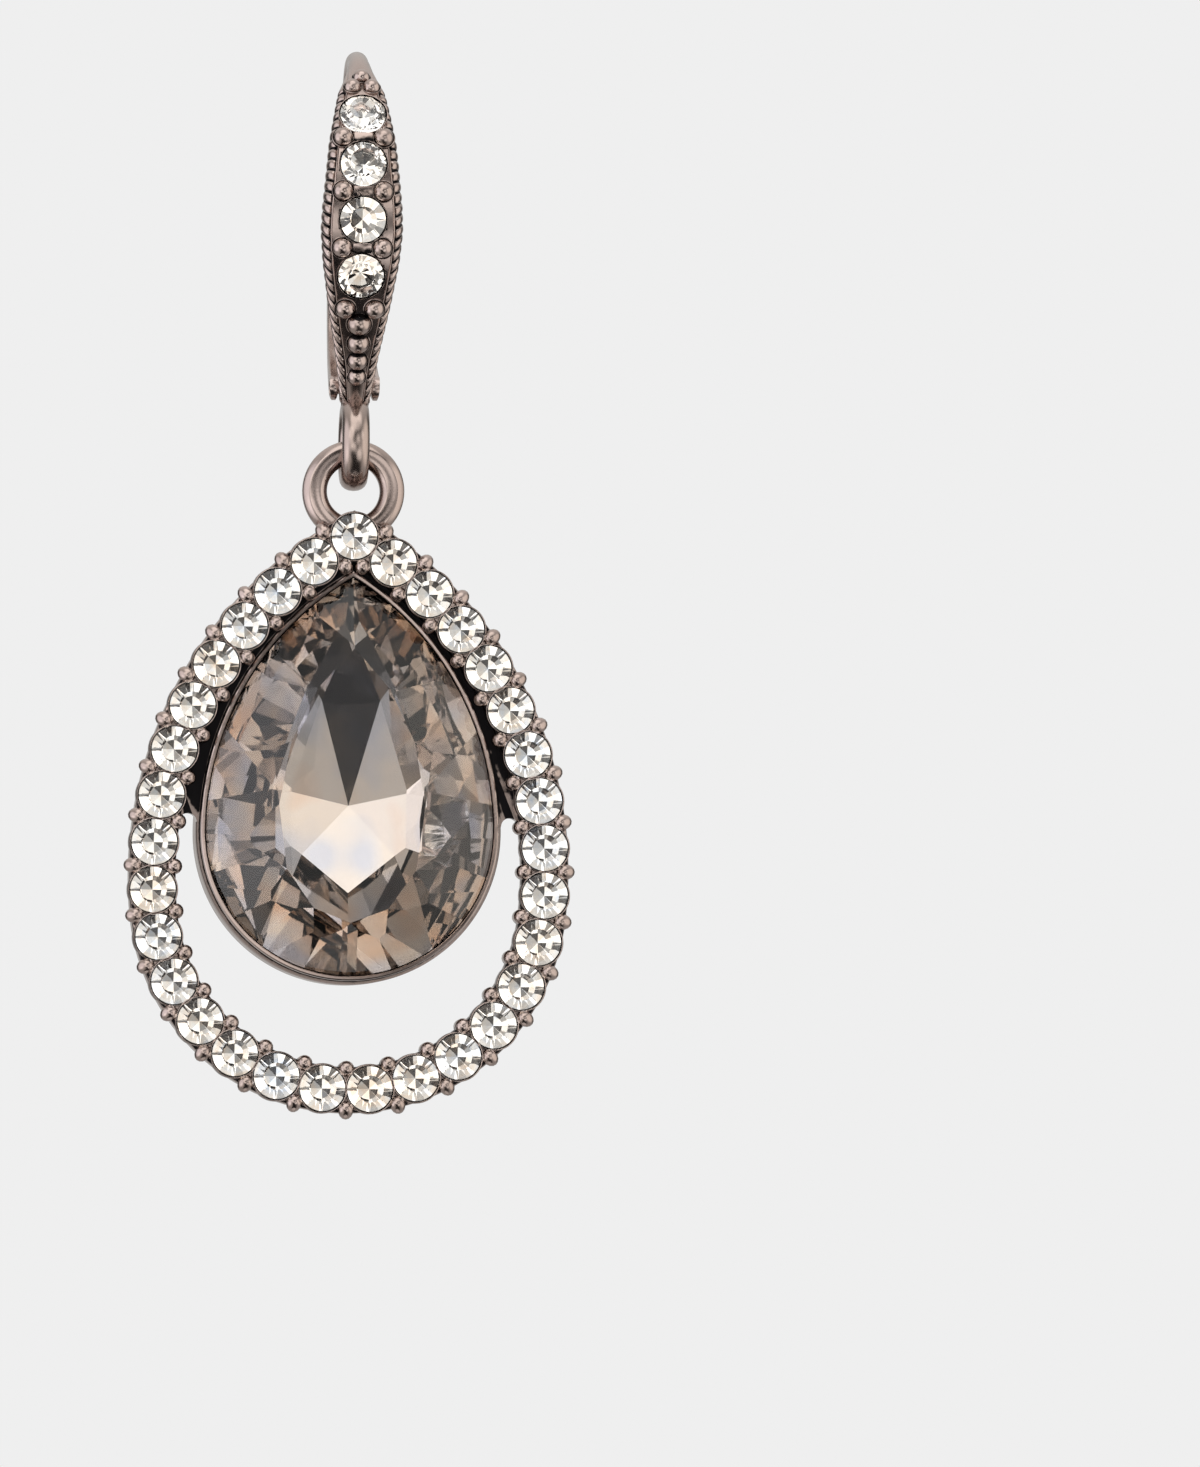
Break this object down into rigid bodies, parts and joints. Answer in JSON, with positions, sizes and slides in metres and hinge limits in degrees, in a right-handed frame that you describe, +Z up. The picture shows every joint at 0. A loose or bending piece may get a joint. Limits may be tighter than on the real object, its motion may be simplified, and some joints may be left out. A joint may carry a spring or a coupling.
{
  "type": "teardrop drop earring",
  "caption": "Lever-back drop earring: stone-set hook, hinged lever and a hanging teardrop frame with a pear-shaped stone inside a band of round stones.",
  "frame": {"origin": "on the ear wire's axis at the top of its arch, where the ear lobe carries the earring", "axes": "+X to the wearer's side, -Y the front that shows, +Z up as the earring hangs"},
  "size_m": [0.0202, 0.0117, 0.0485],
  "materials": {
    "gunmetal": "polished warm gunmetal plating, blackened in the recesses",
    "clear_crystal": "faceted clear glass, foil-backed",
    "smoky_crystal": "faceted grey-brown glass, foil-backed"
  },
  "bodies": {
    "hook": {"ear_hook": "gunmetal", "hinge_pin": "gunmetal", "hook_stone_1": "clear_crystal", "hook_stone_2": "clear_crystal", "hook_stone_3": "clear_crystal", "hook_stone_4": "clear_crystal"},
    "lever": {"lever": "gunmetal"},
    "drop": {"drop_frame": "gunmetal", "pear_stone": "smoky_crystal", "halo_stone_01": "clear_crystal", "halo_stone_02": "clear_crystal", "halo_stone_03": "clear_crystal", "halo_stone_04": "clear_crystal", "halo_stone_05": "clear_crystal", "halo_stone_06": "clear_crystal", "halo_stone_07": "clear_crystal", "halo_stone_08": "clear_crystal", "halo_stone_09": "clear_crystal", "halo_stone_10": "clear_crystal", "halo_stone_11": "clear_crystal", "halo_stone_12": "clear_crystal", "halo_stone_13": "clear_crystal", "halo_stone_14": "clear_crystal", "halo_stone_15": "clear_crystal", "halo_stone_16": "clear_crystal", "halo_stone_17": "clear_crystal", "halo_stone_18": "clear_crystal", "halo_stone_19": "clear_crystal", "halo_stone_20": "clear_crystal", "halo_stone_21": "clear_crystal", "halo_stone_22": "clear_crystal", "halo_stone_23": "clear_crystal", "halo_stone_24": "clear_crystal", "halo_stone_25": "clear_crystal", "halo_stone_26": "clear_crystal", "halo_stone_27": "clear_crystal", "halo_stone_28": "clear_crystal", "halo_stone_29": "clear_crystal", "halo_stone_30": "clear_crystal", "halo_stone_31": "clear_crystal"}
  },
  "joints": [
    {"name": "lever_hinge", "type": "hinge", "parent": "hook", "child": "lever", "pos_m": [0, -0.00241, -0.01495], "axis": [-1, 0, 0], "range_deg": [0, 70]},
    {"name": "drop_swing", "type": "hinge", "parent": "hook", "child": "drop", "pos_m": [0, -0.0028, -0.01789], "axis": [1, 0, 0], "range_deg": [-90, 45]}
  ]
}
